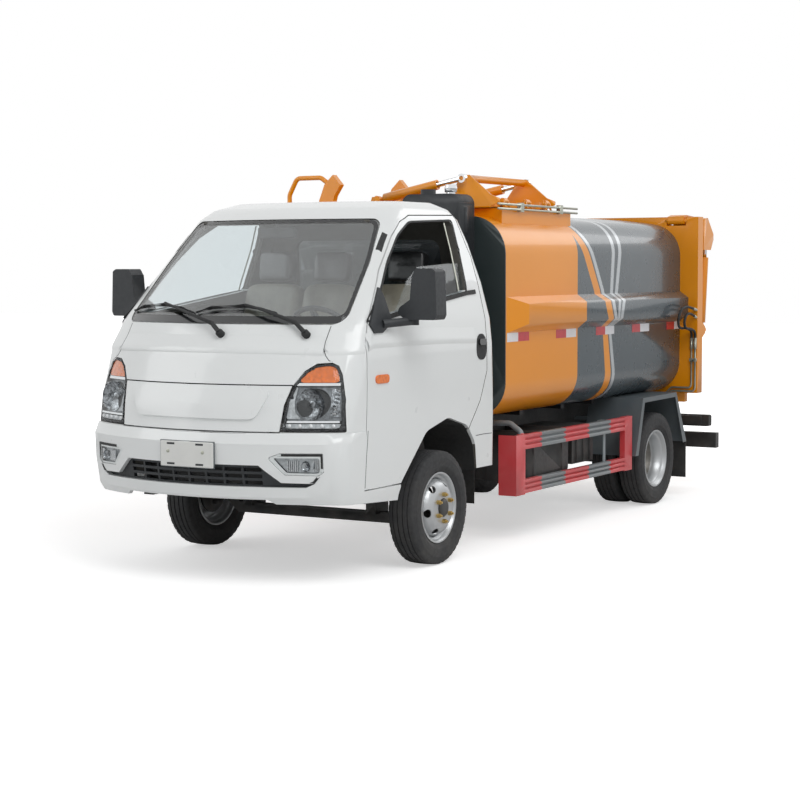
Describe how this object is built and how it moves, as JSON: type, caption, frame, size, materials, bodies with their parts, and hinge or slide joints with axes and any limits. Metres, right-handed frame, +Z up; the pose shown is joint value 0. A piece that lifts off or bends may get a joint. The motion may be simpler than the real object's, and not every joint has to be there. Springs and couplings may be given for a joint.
{
  "type": "side-loading garbage truck",
  "caption": "Small forward-control refuse truck with rounded body, hopper lid, side bin lifter, tailgate and steered front wheels.",
  "frame": {"origin": "middle of the whole truck on the ground", "axes": "+Y towards the tail, +X towards the truck's left side, +Z up"},
  "size_m": [2.1398, 5.4408, 2.22],
  "materials": {
    "black_plastic": "grained",
    "body_paint": "gloss orange and grey",
    "bright_steel": "zinc plated",
    "cab_paint": "gloss white",
    "chassis_black": "satin black",
    "chrome_rod": "polished",
    "dark_paint": "satin dark green",
    "grey_paint": "satin grey",
    "guard_paint": "gloss red and grey",
    "hose_rubber": "matt",
    "lamp_lens": "clear lens",
    "orange_paint": "gloss orange",
    "rim_steel": "silver paint",
    "seat_cloth": "woven",
    "tyre": "matt rubber",
    "window_glass": "clear"
  },
  "bodies": {
    "chassis": {"body_floor": "body_paint", "body_front_plate": "dark_paint", "body_roof": "body_paint", "body_sides": "body_paint", "cab_floor": "chassis_black", "cab_glass": "window_glass", "cab_shell": "cab_paint", "chassis_frame": "chassis_black", "dashboard": "black_plastic", "engine_and_shaft": "chassis_black", "exhaust_silencer": "chassis_black", "front_axle": "chassis_black", "front_bumper": "cab_paint", "front_lamps": "lamp_lens", "hopper_coaming": "orange_paint", "hose_lower": "hose_rubber", "hose_upper": "hose_rubber", "hydraulic_pipes": "bright_steel", "hydraulic_tank": "chassis_black", "leaf_springs": "chassis_black", "lifter_bay": "orange_paint", "lifter_rails": "orange_paint", "lower_grille": "black_plastic", "rear_axle": "chassis_black", "rear_fenders": "grey_paint", "rear_frame": "orange_paint", "rear_lamps": "lamp_lens", "seats": "seat_cloth", "side_guards": "guard_paint", "side_rails": "body_paint", "subframe": "chassis_black", "tank_and_battery": "chassis_black", "tow_eyes": "chassis_black", "underrun_bar": "chassis_black", "wheel_liners": "black_plastic", "wipers": "black_plastic"},
    "knuckle_left": {"knuckle_left": "chassis_black"},
    "knuckle_right": {"knuckle_right": "chassis_black"},
    "wheel_front_left": {"tyre_front_left": "tyre", "rim_front_left": "rim_steel"},
    "wheel_front_right": {"tyre_front_right": "tyre", "rim_front_right": "rim_steel"},
    "wheels_rear_left": {"tyres_rear_left": "tyre", "rims_rear_left": "rim_steel"},
    "wheels_rear_right": {"tyres_rear_right": "tyre", "rims_rear_right": "rim_steel"},
    "door_left": {"door_left": "cab_paint", "door_glass_left": "window_glass", "mirror_left": "black_plastic"},
    "door_right": {"door_right": "cab_paint", "door_glass_right": "window_glass", "mirror_right": "black_plastic"},
    "front_lid": {"front_lid": "cab_paint"},
    "hopper_lid": {"hopper_lid": "orange_paint"},
    "lid_barrels": {"lid_barrels": "orange_paint"},
    "lid_rods": {"lid_rods": "chrome_rod"},
    "tailgate": {"tailgate": "orange_paint"},
    "tail_barrels": {"tail_barrels": "orange_paint"},
    "tail_rods": {"tail_rods": "chrome_rod"},
    "bin_carriage": {"bin_carriage": "orange_paint"}
  },
  "joints": [
    {"name": "steer_left", "type": "hinge", "parent": "chassis", "child": "knuckle_left", "pos_m": [0.68, -1.4855, 0.317], "axis": [0, 0, 1], "range_deg": [-35, 35]},
    {"name": "steer_right", "type": "hinge", "parent": "chassis", "child": "knuckle_right", "pos_m": [-0.68, -1.4855, 0.317], "axis": [0, 0, 1], "range_deg": [-35, 35]},
    {"name": "spin_front_left", "type": "hinge", "parent": "knuckle_left", "child": "wheel_front_left", "pos_m": [0.749, -1.4855, 0.317], "axis": [1, 0, 0], "continuous": true},
    {"name": "spin_front_right", "type": "hinge", "parent": "knuckle_right", "child": "wheel_front_right", "pos_m": [-0.749, -1.4855, 0.317], "axis": [1, 0, 0], "continuous": true},
    {"name": "spin_rear_left", "type": "hinge", "parent": "chassis", "child": "wheels_rear_left", "pos_m": [0.755, 1.5795, 0.317], "axis": [1, 0, 0], "continuous": true},
    {"name": "spin_rear_right", "type": "hinge", "parent": "chassis", "child": "wheels_rear_right", "pos_m": [-0.755, 1.5795, 0.317], "axis": [1, 0, 0], "continuous": true},
    {"name": "door_left_hinge", "type": "hinge", "parent": "chassis", "child": "door_left", "pos_m": [0.822, -2.2535, 1], "axis": [0, 0, -1], "range_deg": [0, 65]},
    {"name": "door_right_hinge", "type": "hinge", "parent": "chassis", "child": "door_right", "pos_m": [-0.822, -2.2535, 1], "axis": [0, 0, 1], "range_deg": [0, 65]},
    {"name": "front_lid_hinge", "type": "hinge", "parent": "chassis", "child": "front_lid", "pos_m": [0, -2.5055, 1.12], "axis": [-1, 0, 0], "range_deg": [0, 60]},
    {"name": "hopper_lid_hinge", "type": "hinge", "parent": "chassis", "child": "hopper_lid", "pos_m": [0.64, -0.0855, 2.035], "axis": [0, 1, 0], "range_deg": [0, 90]},
    {"name": "lid_barrel_pivot", "type": "hinge", "parent": "chassis", "child": "lid_barrels", "pos_m": [-0.15, -0.0855, 2.05], "axis": [0, 1, 0], "range_deg": [0, 0.18663]},
    {"name": "lid_rod_slide", "type": "slide", "parent": "lid_barrels", "child": "lid_rods", "axis": [0.9799, 0, 0.1993], "range_m": [0, 0.34124]},
    {"name": "tailgate_hinge", "type": "hinge", "parent": "chassis", "child": "tailgate", "pos_m": [0, 2.1545, 1.965], "axis": [1, 0, 0], "range_deg": [0, 80]},
    {"name": "tail_barrel_pivot", "type": "hinge", "parent": "chassis", "child": "tail_barrels", "pos_m": [0, 2.2895, 1.185], "axis": [1, 0, 0], "range_deg": [0, 2.92]},
    {"name": "tail_rod_slide", "type": "slide", "parent": "tail_barrels", "child": "tail_rods", "axis": [0, 0.1104, 0.9939], "range_m": [0, 0.33017]},
    {"name": "bin_lift", "type": "slide", "parent": "chassis", "child": "bin_carriage", "axis": [0, 0, 1], "range_m": [0, 0.75]}
  ],
  "couplings": [
    {"joint": "steer_right", "follows": "steer_left", "ratio": 1},
    {"joint": "lid_barrel_pivot", "follows": "hopper_lid_hinge", "ratio": 0.0020737},
    {"joint": "lid_rod_slide", "follows": "hopper_lid_hinge", "m_per_rad": 0.21724},
    {"joint": "tail_barrel_pivot", "follows": "tailgate_hinge", "ratio": 0.036473},
    {"joint": "tail_rod_slide", "follows": "tailgate_hinge", "m_per_rad": 0.23647}
  ]
}
